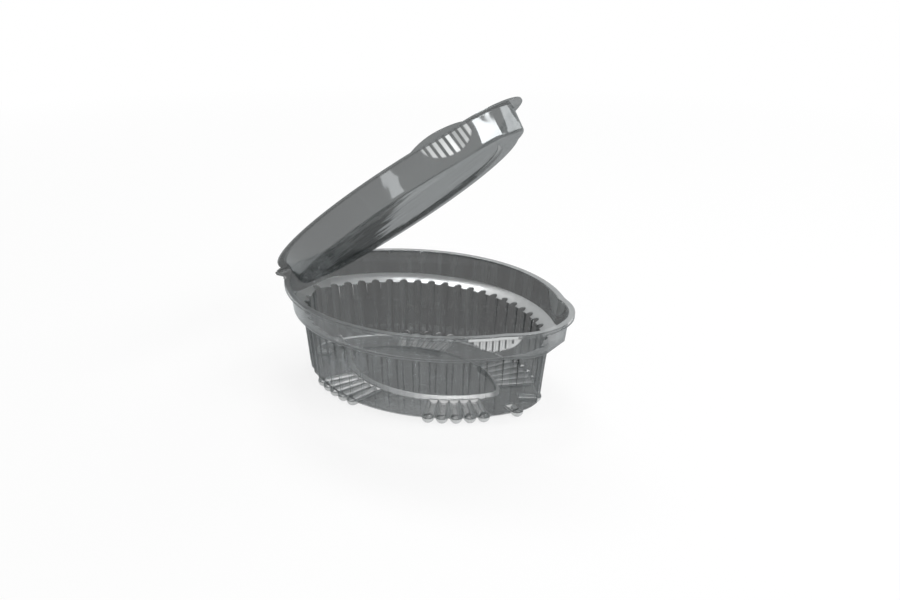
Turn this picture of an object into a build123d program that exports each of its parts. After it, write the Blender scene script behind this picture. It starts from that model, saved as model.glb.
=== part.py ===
from build123d import *
from math import asin, cos, degrees, radians, sin, sqrt
import os

os.makedirs("parts", exist_ok=True)

# A clear thermoformed sauce cup: an oval cup and its plug lid, folded from one sheet.
# Z is up and the feet stand on z = 0. X runs from the hinge to the opening end.
# Every plan outline is one pointed oval of four arcs, moved in by an inset.
# All lengths are in millimetres and all angles in degrees.

sheet = 0.5                  # thickness of the formed plastic
cup_height = 31.0            # table to the upper face of the rim
rim_half_length = 49.8       # oval of the flange edge
rim_half_width = 37.1
rim_end_radius = 18.0

flange_curl = 1.2            # how far the cup's flange edge turns down
curl_start = 3.0             # the turned edge starts this far from the fold
lip_radius = 20.6            # rounded lip at the opening end
lip_blend = 15.0             # radius where the lip runs into the sides
cup_lip_reach = 1.6          # how far the lip stands out past the oval
lid_lip_reach = 2.6

hinge_x = -46.8              # fold line, measured from the middle of the oval
hinge_half_width = 15.5
hinge_bead_radius = 0.45
hinge_clearance = 0.2

seat_depth = 8.0             # seat for the plug, down to the ledge
seat_top_inset = 2.0         # inner face of the seat, at its top and at its foot
seat_foot_inset = 3.0
seat_hinge_end = 46.0        # flat ends of the seat, from the middle, at the top
seat_front_end = 49.3
seat_end_lean = 1.8          # the flat ends lean in by this, down to the foot
seat_mouth_round = 0.5       # rounding of the seat's inner edge, at the flange

ledge_drop = 1.9             # the ledge slopes down to the fluted wall
ledge_hinge_end = 41.0       # flat ends of the ledge's foot
ledge_front_end = 42.1
flute_radius = 1.3
flute_pitch = 6.0            # degrees of the side arc
flutes_per_side = 21
flute_top_inset = 5.7        # inner face of the flute crests, at their top and foot
flute_foot_inset = 8.0
flute_top_depth = 1.6        # from a crest to the wall between the flutes
flute_foot_depth = 0.9

foot_drop = 1.3              # the feet stand out below the floor
foot_radius = 1.9
foot_flat = 0.15             # the feet are flattened where they stand
foot_length = 11.5
end_foot_length = 5.0
foot_pitch = 5.3             # degrees of the side arc
feet_per_group = 5
rear_group_x = -14.5         # middle of each group of feet, from the middle of the oval
front_group_x = 26.2
end_foot_x = 39.0
foot_end_inset = 8.9         # middle of a foot's round end
corner_height = 1.6          # bevel between the wall and the floor
corner_inset = 1.2
corner_relief = 0.3          # the bevel starts outside the flutes

panel_inset = 19.8           # raised middle of the floor
panel_end_radius = 4.5
panel_rise = 1.0
panel_slope = 1.2

lid_open_angle = 38.8        # the lid stands open by this much, as it is drawn here
lid_gap = 0.25               # lid flange above the cup flange when it is closed
plug_clearance = 0.25
plug_floor_gap = 0.3         # plug above the ledge when it is closed
plug_round = 1.0             # rounding of the plug's lower edge
lid_panel_inset = 9.0        # shallow raised middle of the lid
lid_panel_rise = 0.8

grip_x = 38.6                # fluted thumb grips, one on each side of the opening end
grip_half_angle = 8.4
grip_flutes = 8
grip_depth = 5.4
grip_rib_radius = 0.6
grip_rib_sink = 0.25         # how deep a rib's middle lies in the cup's wall
lid_rib_lift = 0.15          # how far a rib's middle lies inside the lid's wall
ear_rise = 1.4               # the lid edge stands up over each grip
ear_half_length = 8.2
ear_reach = 4.0

# Values that follow from those above
lip_centre_x = rim_half_length - lip_radius
end_centre_x = rim_half_length - rim_end_radius
side_radius = (end_centre_x**2 + rim_half_width**2 - rim_end_radius**2) / (
    2 * (rim_half_width - rim_end_radius)
)
side_centre_y = side_radius - rim_half_width
cup_front_x = rim_half_length + cup_lip_reach
cup_rear_x = hinge_x - hinge_bead_radius
oval_x = -(cup_front_x + cup_rear_x) / 2
hinge_z = cup_height + lid_gap / 2
lid_rear_x = hinge_x + hinge_bead_radius + hinge_clearance
seat_draft = (seat_foot_inset - seat_top_inset) / seat_depth
seat_end_draft = seat_end_lean / seat_depth
seat_foot_z = cup_height - seat_depth
ledge_foot_z = seat_foot_z - ledge_drop
plug_depth = seat_depth - plug_floor_gap
floor_z = foot_drop + sheet


def level(z):
    """Plane at height z, with its origin in the middle of the oval."""
    return Plane((oval_x, 0, z))


def lid_level(h):
    """Plane of the open lid that lies h above the cup's rim when the lid is closed."""
    angle = radians(lid_open_angle)
    along = Vector(cos(angle), 0, sin(angle))
    up = Vector(-sin(angle), 0, cos(angle))
    fold = Vector(oval_x + hinge_x, 0, hinge_z)
    return Plane(fold - along * hinge_x + up * (h - lid_gap / 2), x_dir=along, z_dir=up)


def side_angle(x, inset):
    """Angle from the Y axis, about the side arc's centre, of the point at x."""
    return degrees(asin(x / (side_radius - inset)))


def side_point(angle, inset):
    """Point of the side arc on the +Y side, moved in by inset."""
    reach = side_radius - inset
    return (reach * sin(radians(angle)), reach * cos(radians(angle)) - side_centre_y)


def wall_point(angle, inset):
    """Point of the seat's wall on the +Y side, on the side arc or, past it, on the lip."""
    lip_x = lip_centre_x + cup_lip_reach
    along = lip_x * sin(radians(angle)) + side_centre_y * cos(radians(angle))
    across = lip_x * cos(radians(angle)) - side_centre_y * sin(radians(angle))
    half_chord = sqrt(max((lip_radius - inset) ** 2 - across**2, 0))
    return side_point(angle, min(inset, side_radius - along - half_chord))


def oval(inset, end_r):
    """The plan oval, with its sides moved in by inset and its ends rounded to end_r."""
    side_r = side_radius - inset
    centre_span = side_r - end_r
    centre_x = sqrt(centre_span**2 - side_centre_y**2)
    join_x = centre_x + end_r * centre_x / centre_span
    join_y = end_r * side_centre_y / centre_span
    end_x = centre_x + end_r
    side_y = side_r - side_centre_y
    with BuildSketch() as plan:
        with BuildLine():
            ThreePointArc((join_x, -join_y), (end_x, 0), (join_x, join_y))
            ThreePointArc((join_x, join_y), (0, side_y), (-join_x, join_y))
            ThreePointArc((-join_x, join_y), (-end_x, 0), (-join_x, -join_y))
            ThreePointArc((-join_x, -join_y), (0, -side_y), (join_x, -join_y))
        make_face()
    return plan.sketch


def inner_oval(inset):
    """The plan oval, moved in evenly by inset."""
    return oval(inset, rim_end_radius - inset)


def span(rear_x, front_x):
    """Strip across the oval from rear_x to front_x."""
    with BuildSketch() as plan:
        with Locations(((rear_x + front_x) / 2, 0)):
            Rectangle(front_x - rear_x, 3 * rim_half_width)
    return plan.sketch


def flange(lip_reach, rear_x):
    """Flange outline with its lip and hinge strip, cut off at rear_x."""
    with BuildSketch() as plan:
        add(inner_oval(0))
        with Locations((lip_centre_x + lip_reach, 0)):
            Circle(lip_radius)
        kinks = plan.vertices().filter_by_position(Axis.X, lip_centre_x, rim_half_length)
        fillet(kinks, lip_blend)
        with Locations((hinge_x / 2, 0)):
            Rectangle(-hinge_x, 2 * hinge_half_width)
        add(span(rear_x, 2 * rim_half_length), mode=Mode.INTERSECT)
    return plan.sketch


def flange_edge(lip_reach):
    """Narrow band along the flange outline, which stops beside the hinge strip."""
    with BuildSketch() as plan:
        add(flange(lip_reach, hinge_x))
        offset(amount=-sheet, mode=Mode.SUBTRACT)
        add(span(hinge_x + curl_start, 2 * rim_half_length), mode=Mode.INTERSECT)
    return plan.sketch


def seat_outline(outward, depth):
    """Outline at a depth of the seat, whose flat ends lean in more than its sides."""
    inset = seat_top_inset + seat_draft * depth - outward
    lean = seat_end_draft * depth - outward
    with BuildSketch() as plan:
        add(inner_oval(inset))
        with Locations((lip_centre_x + cup_lip_reach, 0)):
            Circle(lip_radius - inset)
        add(span(lean - seat_hinge_end, seat_front_end - lean), mode=Mode.INTERSECT)
    return plan.sketch


def ledge_outline(outward):
    """Outline of the foot of the sloping ledge."""
    with BuildSketch() as plan:
        add(inner_oval(flute_top_inset + flute_top_depth - outward))
        add(span(-ledge_hinge_end - outward, ledge_front_end + outward), mode=Mode.INTERSECT)
    return plan.sketch


def fluted_outline(crest_inset, depth, outward):
    """Oval of the valleys of the wall, with a round flute at every pitch."""
    centre_inset = crest_inset + flute_radius
    sweep = flute_pitch * (flutes_per_side - 1)
    end_x = rim_half_length - centre_inset
    with BuildSketch() as plan:
        add(inner_oval(crest_inset + depth - outward))
        for middle, centre_y in ((90, -side_centre_y), (270, side_centre_y)):
            with Locations((0, centre_y)):
                with PolarLocations(
                    side_radius - centre_inset,
                    flutes_per_side,
                    start_angle=middle - sweep / 2,
                    angular_range=sweep,
                    endpoint=True,
                ):
                    Circle(flute_radius + outward)
        with Locations((end_x, 0), (-end_x, 0)):
            Circle(flute_radius + outward)
    return plan.sketch


def rim_form(outward):
    """Solid inside the plug seat and the sloping ledge, with its faces moved outward."""
    foot_depth = seat_depth + outward
    with BuildPart() as form:
        with BuildSketch(level(cup_height)):
            add(seat_outline(outward, 0))
        with BuildSketch(level(cup_height - foot_depth)):
            add(seat_outline(outward, foot_depth))
        loft(ruled=True)
        with BuildSketch(level(cup_height - foot_depth)):
            add(seat_outline(outward, foot_depth))
        with BuildSketch(level(ledge_foot_z - outward)):
            add(ledge_outline(outward))
        loft(ruled=True)
    return form.part


def bowl_form(outward):
    """Solid inside the fluted wall down to the floor, with its faces moved outward."""
    top_z = seat_foot_z - outward
    bottom_z = floor_z - outward
    crest_top = flute_top_inset - outward
    crest_foot = flute_foot_inset - outward
    with BuildPart() as form:
        with BuildSketch(level(top_z)):
            add(fluted_outline(flute_top_inset, flute_top_depth, outward))
        with BuildSketch(level(bottom_z)):
            add(fluted_outline(flute_foot_inset, flute_foot_depth, outward))
        loft(ruled=True)
        with BuildSketch(level(top_z)):
            add(inner_oval(crest_top - corner_relief))
        with BuildSketch(level(bottom_z + corner_height)):
            add(inner_oval(crest_foot - corner_relief))
        with BuildSketch(level(bottom_z)):
            add(inner_oval(crest_foot + corner_inset))
        loft(ruled=True, mode=Mode.INTERSECT)
    return form.part


def feet_form(radius):
    """Round radial feet: groups along both sides, and one near each end of a side."""
    half_group = foot_pitch * (feet_per_group - 1) / 2
    reach = side_radius - foot_end_inset
    runs = []
    for x in (rear_group_x, front_group_x):
        start = 90 - side_angle(x, foot_end_inset) - half_group
        runs.append((start, feet_per_group, foot_length))
    for x in (-end_foot_x, end_foot_x):
        runs.append((90 - side_angle(x, foot_end_inset), 1, end_foot_length))
    with BuildPart() as form:
        with Locations(level(foot_radius - foot_flat)):
            with Locations((0, -side_centre_y)):
                for start, count, length in runs:
                    with PolarLocations(
                        reach, count, start_angle=start, angular_range=2 * half_group, endpoint=True
                    ):
                        Cylinder(
                            radius,
                            length,
                            rotation=(0, 90, 0),
                            align=(Align.CENTER, Align.CENTER, Align.MAX),
                        )
                        Sphere(radius)
        mirror(about=Plane.XZ)
    return form.part


def plug_form(inward):
    """Solid inside the lid's plug, with its faces moved inward."""
    with BuildPart() as form:
        with BuildSketch(lid_level(lid_gap + inward)):
            add(seat_outline(-plug_clearance - inward, 0))
        with BuildSketch(lid_level(inward - plug_depth)):
            add(seat_outline(-plug_clearance - inward, plug_depth - inward))
        loft(ruled=True)
        lid_floor = form.faces().sort_by(Axis((0, 0, 0), lid_level(0).z_dir))[0]
        fillet(lid_floor.edges(), plug_round - inward)
    return form.part


def grip_ribs(plane_at, top, face_inset):
    """Half-moon of ribs down both sides of the seat wall, on the face at face_inset."""
    middle = side_angle(grip_x, 0)
    with BuildPart() as ribs:
        for i in range(grip_flutes):
            share = (2 * i + 1 - grip_flutes) / grip_flutes
            angle = middle + share * grip_half_angle
            depth = grip_depth * sqrt(1 - share**2)
            with BuildSketch(plane_at(top)):
                with Locations(wall_point(angle, face_inset)):
                    Circle(grip_rib_radius)
            with BuildSketch(plane_at(top - depth)):
                with Locations(wall_point(angle, face_inset + seat_draft * depth)):
                    Circle(grip_rib_radius)
            loft(ruled=True)
        mirror(about=Plane.XZ)
    return ribs.part


def grip_ear():
    """Low arch that stands on the edge of the lid's flange over each grip."""
    edge_plane = lid_level(lid_gap)
    angle = side_angle(grip_x, 0)
    arch_radius = (ear_half_length**2 + ear_rise**2) / (2 * ear_rise)
    x, y = side_point(angle, 0)
    outward = edge_plane.x_dir * sin(radians(angle)) + edge_plane.y_dir * cos(radians(angle))
    middle = edge_plane.from_local_coords((x, y, sheet + ear_rise - arch_radius))
    with BuildPart() as ear:
        with BuildSketch(edge_plane):
            add(flange_edge(lid_lip_reach))
        extrude(amount=sheet + ear_rise)
        with BuildSketch(Plane(middle - outward * ear_reach, x_dir=edge_plane.z_dir, z_dir=outward)):
            Circle(arch_radius)
        extrude(amount=2 * ear_reach, mode=Mode.INTERSECT)
        mirror(about=Plane.XZ)
    return ear.part


with BuildPart() as hollow:
    add(rim_form(0))
    add(bowl_form(0))
    add(feet_form(foot_radius - sheet))

with BuildPart() as cup:
    add(rim_form(sheet))
    with BuildSketch(level(cup_height - sheet)):
        add(flange(cup_lip_reach, hinge_x))
    extrude(amount=sheet)
    with BuildSketch(level(cup_height - flange_curl)):
        add(flange_edge(cup_lip_reach))
    extrude(amount=flange_curl)
    add(rim_form(0), mode=Mode.SUBTRACT)
    rim_faces = cup.faces().filter_by_position(Axis.Z, cup_height, cup_height)
    mouth = rim_faces.sort_by(SortBy.AREA)[-1].inner_wires()[0]
    fillet(mouth.edges(), seat_mouth_round)
    add(bowl_form(sheet))
    add(feet_form(foot_radius))
    add(grip_ribs(level, cup_height - sheet, seat_top_inset - sheet + grip_rib_sink))
    with Locations((oval_x + hinge_x, 0, hinge_z)):
        Cylinder(hinge_bead_radius, 2 * hinge_half_width, rotation=(90, 0, 0))
    add(hollow.part, mode=Mode.SUBTRACT)
    split(bisect_by=Plane.XY, keep=Keep.TOP)
    for base_z, mode in ((floor_z, Mode.ADD), (floor_z - sheet, Mode.SUBTRACT)):
        with BuildSketch(level(base_z)):
            add(oval(panel_inset, panel_end_radius))
        with BuildSketch(level(base_z + panel_rise)):
            add(oval(panel_inset + panel_slope, panel_end_radius - panel_slope))
        loft(ruled=True, mode=mode)

with BuildPart() as lid:
    with BuildSketch(lid_level(lid_gap)):
        add(flange(lid_lip_reach, lid_rear_x))
    extrude(amount=sheet)
    add(grip_ear())
    add(plug_form(0))
    add(plug_form(sheet), mode=Mode.SUBTRACT)
    for base_h, mode in ((sheet - plug_depth, Mode.ADD), (-plug_depth, Mode.SUBTRACT)):
        with BuildSketch(lid_level(base_h)):
            add(inner_oval(lid_panel_inset))
        with BuildSketch(lid_level(base_h + lid_panel_rise)):
            add(inner_oval(lid_panel_inset + panel_slope))
        loft(ruled=True, mode=mode)
    add(grip_ribs(lid_level, lid_gap, seat_top_inset + plug_clearance + sheet + lid_rib_lift))

cup.part.label = "cup"
export_step(cup.part, "parts/cup.step")
lid.part.label = "lid"
export_step(lid.part, "parts/lid.step")
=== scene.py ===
"""A clear hinged sauce cup, standing open on a pale table."""
import math

import bpy
from mathutils import Matrix, Vector

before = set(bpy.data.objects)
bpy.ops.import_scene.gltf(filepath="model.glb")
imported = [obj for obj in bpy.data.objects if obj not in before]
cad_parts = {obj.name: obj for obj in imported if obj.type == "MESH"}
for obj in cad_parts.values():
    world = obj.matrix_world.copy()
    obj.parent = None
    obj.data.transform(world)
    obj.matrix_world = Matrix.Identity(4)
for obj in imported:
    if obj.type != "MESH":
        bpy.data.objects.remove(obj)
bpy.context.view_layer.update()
bpy.ops.object.select_all(action="DESELECT")


# Cup
# The cup is clear PET sheet, heated and drawn into a fluted mould together with the lid.
# The forming leaves soft corners, fine drawn lines down the walls, and slightly rough
# skin where the mould is rough: on the grips, ledge, flange, feet and floor panel's step.
# Those rough places carry a painted highlight, and the sheet's grey is painted shade.
def add_node(tree, kind, sockets, **settings):
    """New shader node, with its settings made and each socket linked or given its value."""
    made = tree.nodes.new("ShaderNode" + kind)
    for setting, value in settings.items():
        setattr(made, setting, value)
    for socket, source in sockets.items():
        if isinstance(source, bpy.types.NodeSocket):
            tree.links.new(source, made.inputs[socket])
        else:
            made.inputs[socket].default_value = source
    return made


def frost_and_highlight_share(tree, place, centre, reach, way, bare, full, amount, turn=0, stripes=0):
    """Share of rough skin with a painted highlight in the lower half of an oval, by how far
    a face leans along way.

    The oval's centre and reach are in metres, and turn turns it about Y. A face that
    leans by bare has no rough skin or painted highlight, and one that leans by full has the
    whole amount. Stripes of painted highlight leave the skin bare between them.
    """
    edge_from = 0.92  # the frosting fades out from this share of the oval's reach
    crest_from, crest_to = -0.6, 0.2  # part of the wave that each stripe covers
    oval = add_node(tree, "Mapping", {
        "Vector": place.outputs["Object"],
        "Location": centre,
        "Rotation": (0, turn, 0),
        "Scale": reach,
    }, vector_type="TEXTURE")
    radius = add_node(tree, "VectorMath", {0: oval.outputs["Vector"]}, operation="LENGTH")
    inside = add_node(tree, "MapRange", {
        "Value": radius.outputs["Value"],
        "From Min": edge_from,
        "From Max": 1.0,
        "To Min": amount,
        "To Max": 0.0,
    })
    spot = add_node(tree, "SeparateXYZ", {"Vector": oval.outputs["Vector"]})
    lower = add_node(tree, "Math", {0: spot.outputs["Z"], 1: 0.0}, operation="LESS_THAN")
    lean = add_node(tree, "VectorMath", {
        0: place.outputs["Normal"],
        1: Matrix.Rotation(turn, 3, "Y") @ Vector(way),
    }, operation="DOT_PRODUCT")
    slope = add_node(tree, "Math", {0: lean.outputs["Value"]}, operation="ABSOLUTE")
    chosen = add_node(tree, "MapRange", {
        "Value": slope.outputs["Value"],
        "From Min": bare,
        "From Max": full,
    })
    parts = [lower.outputs["Value"], chosen.outputs["Result"]]
    if stripes:
        across = add_node(tree, "Math", {
            0: spot.outputs["X"],
            1: math.pi * stripes,
        }, operation="MULTIPLY")
        wave = add_node(tree, "Math", {0: across.outputs["Value"]}, operation="SINE")
        crest = add_node(tree, "MapRange", {
            "Value": wave.outputs["Value"],
            "From Min": crest_from,
            "From Max": crest_to,
        })
        parts.append(crest.outputs["Result"])
    share = inside.outputs["Result"]
    for part in parts:
        both = add_node(tree, "Math", {0: share, 1: part}, operation="MULTIPLY")
        share = both.outputs["Value"]
    return share


def clear_sheet(name, shade_grey, shade_swing, middle, entry_cover, later_cover, exit_cover,
                shine_least, shine_most, wave_stretch, wave_scale, wave_height, frost_and_highlight_places):
    """Clear formed plastic: a see-through body in painted grey shade under a gloss, with
    rough skin and a painted highlight in places.

    The covers are the share of the painted grey shade on a skin: of the first that a line of
    sight meets, of a later one, and of the outer skin that it leaves by. The outer skin is
    the one that faces away from middle.
    """
    corner_radius, corner_samples = 0.0004, 4
    wave_detail = 2.0
    drawn_from, drawn_to = 0.35, 0.65  # range of the waves that the tint follows
    gloss_colour, gloss_roughness = (0.94, 0.98, 1, 1), 0.05
    steepness = 5.0  # the gloss grows at a glancing angle with this power
    # light grey of the frosted places: a painted highlight on their rough skin
    frost_and_highlight_colour, frost_roughness, frost_sheen = (0.62, 0.65, 0.65, 1), 0.35, 0.5

    plastic = bpy.data.materials.new(name)
    plastic.use_nodes = True
    tree = plastic.node_tree
    tree.nodes.clear()

    place = add_node(tree, "TexCoord", {})
    stretch = add_node(tree, "Mapping", {
        "Vector": place.outputs["Object"],
        "Scale": wave_stretch,
    })
    waves = add_node(tree, "TexNoise", {
        "Vector": stretch.outputs["Vector"],
        "Scale": wave_scale,
        "Detail": wave_detail,
    })
    corners = add_node(tree, "Bevel", {"Radius": corner_radius}, samples=corner_samples)
    bump = add_node(tree, "Bump", {
        "Distance": wave_height,
        "Height": waves.outputs["Fac"],
        "Normal": corners.outputs["Normal"],
    })

    # The grey is painted shade, standing for dark surroundings seen through the clear sheet.
    # It lies where a line of sight enters the part and where it leaves it, so that walls
    # behind each other look little darker than one. A skin that is seen from behind has its
    # normal turned round, so there the outer skin's normal points to the middle.
    rays = add_node(tree, "LightPath", {})
    entry = add_node(tree, "MapRange", {
        "Value": rays.outputs["Transparent Depth"],
        "From Max": 1.0,
        "To Min": entry_cover,
        "To Max": later_cover,
    })
    reach = add_node(tree, "VectorMath", {
        0: place.outputs["Object"],
        1: middle,
    }, operation="SUBTRACT")
    side = add_node(tree, "VectorMath", {
        0: reach.outputs["Vector"],
        1: place.outputs["Normal"],
    }, operation="DOT_PRODUCT")
    outer = add_node(tree, "Math", {0: side.outputs["Value"], 1: 0.0}, operation="LESS_THAN")
    geometry = add_node(tree, "NewGeometry", {})
    leaving = add_node(tree, "Math", {
        0: outer.outputs["Value"],
        1: geometry.outputs["Backfacing"],
    }, operation="MULTIPLY")
    leave = add_node(tree, "Math", {
        0: leaving.outputs["Value"],
        1: exit_cover,
    }, operation="MULTIPLY")
    cover = add_node(tree, "Math", {
        0: entry.outputs["Result"],
        1: leave.outputs["Value"],
    }, operation="MAXIMUM")

    # The painted shade grey itself varies along the drawn lines
    drawn = add_node(tree, "MapRange", {
        "Value": waves.outputs["Fac"],
        "From Min": drawn_from,
        "From Max": drawn_to,
    })
    shade = add_node(tree, "Mix", {
        "Factor": drawn.outputs["Result"],
        "A": (*[(1 - shade_swing) * part for part in shade_grey], 1),
        "B": (*[(1 + shade_swing) * part for part in shade_grey], 1),
    }, data_type="RGBA")
    painted_shade = add_node(tree, "BsdfDiffuse", {
        "Color": shade.outputs["Result"],
        "Normal": bump.outputs["Normal"],
    })
    clear = add_node(tree, "BsdfTransparent", {})
    body = add_node(tree, "MixShader", {
        0: cover.outputs["Value"],
        1: clear.outputs["BSDF"],
        2: painted_shade.outputs["BSDF"],
    })

    facing = add_node(tree, "LayerWeight", {"Blend": 0.5, "Normal": bump.outputs["Normal"]})
    glancing = add_node(tree, "Math", {
        0: facing.outputs["Facing"],
        1: steepness,
    }, operation="POWER")
    shine = add_node(tree, "MapRange", {
        "Value": glancing.outputs["Value"],
        "To Min": shine_least,
        "To Max": shine_most,
    })
    gloss = add_node(tree, "BsdfGlossy", {
        "Color": gloss_colour,
        "Roughness": gloss_roughness,
        "Normal": bump.outputs["Normal"],
    })
    sheet = add_node(tree, "MixShader", {
        0: shine.outputs["Result"],
        1: body.outputs["Shader"],
        2: gloss.outputs["BSDF"],
    })

    # The frosting mixes a rough sheen with a painted highlight, a light grey diffuse skin.
    skin = add_node(tree, "BsdfDiffuse", {
        "Color": frost_and_highlight_colour,
        "Normal": bump.outputs["Normal"],
    })
    sheen = add_node(tree, "BsdfGlossy", {
        "Roughness": frost_roughness,
        "Normal": bump.outputs["Normal"],
    })
    frost_and_highlight = add_node(tree, "MixShader", {
        0: frost_sheen,
        1: skin.outputs["BSDF"],
        2: sheen.outputs["BSDF"],
    })
    for spot in frost_and_highlight_places:
        sheet = add_node(tree, "MixShader", {
            0: frost_and_highlight_share(tree, place, **spot),
            1: sheet.outputs["Shader"],
            2: frost_and_highlight.outputs["Shader"],
        })
    add_node(tree, "OutputMaterial", {"Surface": sheet.outputs["Shader"]})
    return plastic


# Frosted places, rough skin with a painted highlight, are chosen among faces that lie
# level, or that face along the cup
level, along = (0, 0, 1), (1, 0, 0)
grips = dict(centre=(0.0367, 0, 0.0306), reach=(0.0055, 1, 0.0052),
             way=along, bare=0.3, full=0.6, amount=0.85)
ledge = dict(centre=(0, 0, 0.0233), reach=(1, 1, 0.0023),
             way=level, bare=0.5, full=0.7, amount=0.4)
feet = dict(centre=(0, 0, 0.00178), reach=(1, 1, 0.0016),
            way=level, bare=0.9, full=0.7, amount=0.85)
flange_top = dict(centre=(0, 0, 0.0328), reach=(1, 1, 0.0022),
                  way=level, bare=0.8, full=0.95, amount=0.3)
panel_step = dict(centre=(0, 0, 0.00278), reach=(0.034, 0.022, 0.0020),
                  way=level, bare=0.95, full=0.85, amount=0.95)

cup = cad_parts["cup"]
cup.data.materials.clear()
# The cup's grey is painted shade, and its frosted places carry a painted highlight.
cup.data.materials.append(clear_sheet(
    "cup_sheet", shade_grey=(0.066, 0.073, 0.073), shade_swing=0.5, middle=(-0.002, 0, 0.040),
    entry_cover=0.42, later_cover=0.03, exit_cover=0.84, shine_least=0.05, shine_most=0.6,
    wave_stretch=(1, 1, 0.06), wave_scale=320, wave_height=0.00007,
    frost_and_highlight_places=[grips, ledge, feet, flange_top, panel_step]))


# Lid
# The lid is the other half of the same PET sheet, joined to the cup by the fold at its end.
# It has a flange and a plug with a raised panel, and slow waves from the drawing. Its grips
# and the step round the panel are rough and carry a painted highlight, in places that lean
# as the open lid does. Its grey is painted shade.
lid_turn = math.radians(-38.8)
lid_grips = dict(centre=(0.0178, 0, 0.0848), reach=(0.0058, 1, 0.0056), turn=lid_turn,
                 way=along, bare=0.3, full=0.6, amount=0.75, stripes=8)
lid_panel_step = dict(centre=(-0.00677, 0, 0.05677), reach=(0.040, 0.0265, 0.0035),
                      turn=lid_turn, way=level, bare=0.97, full=0.85, amount=0.35)

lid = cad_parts["lid"]
lid.data.materials.clear()
# The lid's grey is painted shade, and its frosted places carry a painted highlight.
lid.data.materials.append(clear_sheet(
    "lid_sheet", shade_grey=(0.05, 0.057, 0.056), shade_swing=0.1, middle=(-0.01796, 0, 0.06737),
    entry_cover=0.88, later_cover=0.10, exit_cover=0.45, shine_least=0.07, shine_most=0.32,
    wave_stretch=(0.35, 1, 0.35), wave_scale=160, wave_height=0.00030,
    frost_and_highlight_places=[lid_grips, lid_panel_step]))


# Table and room
# A painted white table stands in an even white room. Both look white to the camera and in
# the gloss. The table keeps the cup's soft shadow, and turns fully white away from it.
def seen_or_mirrored(tree):
    """Output that is 1 for camera, glossy and transmission rays."""
    rays = add_node(tree, "LightPath", {})
    either = rays.outputs["Is Camera Ray"]
    for ray in ("Is Glossy Ray", "Is Transmission Ray"):
        most = add_node(tree, "Math", {0: either, 1: rays.outputs[ray]}, operation="MAXIMUM")
        either = most.outputs["Value"]
    return either


full_white = (1, 1, 1, 1)
table_size = 6.0
table_paint = (0.9, 0.9, 0.9, 1)
table_glow = 0.8
glow_from, glow_to = 0.10, 0.60  # distances from the cup between which the glow grows to 1

bpy.ops.mesh.primitive_plane_add(size=table_size, location=(0, 0, 0))
table = bpy.context.object
table.name = "table"
white = bpy.data.materials.new("white_table")
white.use_nodes = True
tree = white.node_tree
tree.nodes.clear()
place = add_node(tree, "TexCoord", {})
distance = add_node(tree, "VectorMath", {0: place.outputs["Object"]}, operation="LENGTH")
whiter = add_node(tree, "MapRange", {
    "Value": distance.outputs["Value"],
    "From Min": glow_from,
    "From Max": glow_to,
    "To Min": table_glow,
})
share = add_node(tree, "Math", {
    0: seen_or_mirrored(tree),
    1: whiter.outputs["Result"],
}, operation="MULTIPLY")
paint = add_node(tree, "BsdfDiffuse", {"Color": table_paint})
glow = add_node(tree, "Emission", {"Color": full_white})
blend = add_node(tree, "MixShader", {
    0: share.outputs["Value"],
    1: paint.outputs["BSDF"],
    2: glow.outputs["Emission"],
})
add_node(tree, "OutputMaterial", {"Surface": blend.outputs["Shader"]})
table.data.materials.append(white)

room_fill = 0.3  # light that the room gives the cup
room_seen = 1.0  # how bright its walls look
room = bpy.data.worlds.new("white_room")
bpy.context.scene.world = room
room.use_nodes = True
tree = room.node_tree
tree.nodes.clear()
fill = add_node(tree, "Background", {"Color": full_white, "Strength": room_fill})
walls = add_node(tree, "Background", {"Color": full_white, "Strength": room_seen})
blend = add_node(tree, "MixShader", {
    0: seen_or_mirrored(tree),
    1: fill.outputs["Background"],
    2: walls.outputs["Background"],
})
add_node(tree, "OutputWorld", {"Surface": blend.outputs["Shader"]})


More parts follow.
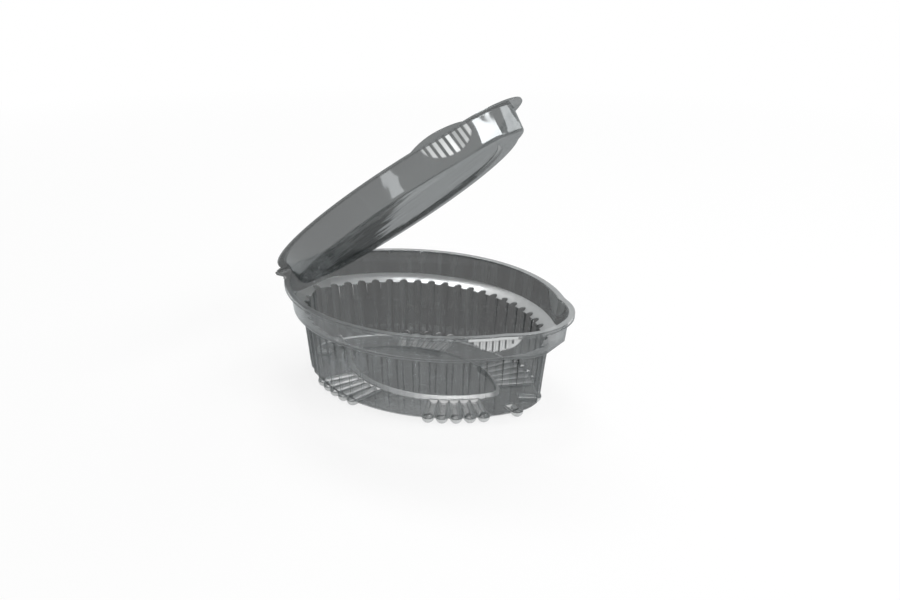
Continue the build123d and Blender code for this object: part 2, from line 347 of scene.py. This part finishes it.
# Lamps
# Soft boxes hang round the cup. They give the gloss on the ledge, the floor and the lid.
# Each one is small, so that together they light the table at about a plain level.
def soft_box(name, way, long_side, distance, length, width, radiance):
    """Rectangular lamp in the direction way from the cup, its length near long_side."""
    cup_middle = Vector((0, 0, 0.03))
    way, long_side = Vector(way).normalized(), Vector(long_side)
    side = (long_side - way * way.dot(long_side)).normalized()
    turn = Matrix((side, way.cross(side), way)).transposed()
    light = bpy.data.lights.new(name, "AREA")
    light.shape = "RECTANGLE"
    light.size, light.size_y = length, width
    light.energy = radiance * math.pi * length * width
    lamp = bpy.data.objects.new(name, light)
    bpy.context.scene.collection.objects.link(lamp)
    lamp.location = cup_middle + way * distance
    lamp.rotation_euler = turn.to_euler()


soft_box("ledge_box", way=(-0.33, 0.33, 0.88), long_side=(0.95, 0.3, 0.2),
         distance=0.7, length=0.30, width=0.11, radiance=16)
soft_box("floor_box", way=(0.20, -0.15, 0.97), long_side=(0.77, 0.63, 0),
         distance=0.7, length=0.50, width=0.05, radiance=18)
soft_box("right_box", way=(0.80, -0.04, 0.57), long_side=(0.1, 1, 0.1),
         distance=0.7, length=0.52, width=0.09, radiance=12)
soft_box("rear_box", way=(0.38, 0.88, 0.26), long_side=(0.92, -0.38, 0),
         distance=0.8, length=0.26, width=0.16, radiance=4)
soft_box("back_box", way=(0.20, 0.71, 0.67), long_side=(1, 0, 0),
         distance=0.8, length=0.26, width=0.20, radiance=3)
soft_box("left_box", way=(0.27, -0.95, 0.14), long_side=(1, 0.3, 0),
         distance=0.8, length=0.12, width=0.16, radiance=3)


# Camera
# The camera stands to the right of the hinge and above the rim, as for the photograph.
# Its shift frames the open cup as the photograph does.
azimuth = math.radians(34.35)
elevation = math.radians(20.53)
camera_distance = 0.3156
target = Vector((-0.002075, 0, 0.031))
most_clear_skins = 32  # that light may pass through on its way to the lens

lens = bpy.data.cameras.new("camera")
lens.lens, lens.sensor_width = 40, 36
lens.shift_x, lens.shift_y = 0.0325, -0.0132
lens.clip_start, lens.clip_end = 0.01, 10
camera = bpy.data.objects.new("camera", lens)
bpy.context.scene.collection.objects.link(camera)
back = Vector((
    math.sin(azimuth) * math.cos(elevation),
    -math.cos(azimuth) * math.cos(elevation),
    math.sin(elevation),
))
camera.location = target + back * camera_distance
camera.rotation_euler = (-back).to_track_quat("-Z", "Y").to_euler()
bpy.context.scene.camera = camera
bpy.context.scene.view_settings.view_transform = "Standard"
bpy.context.scene.cycles.transparent_max_bounces = most_clear_skins
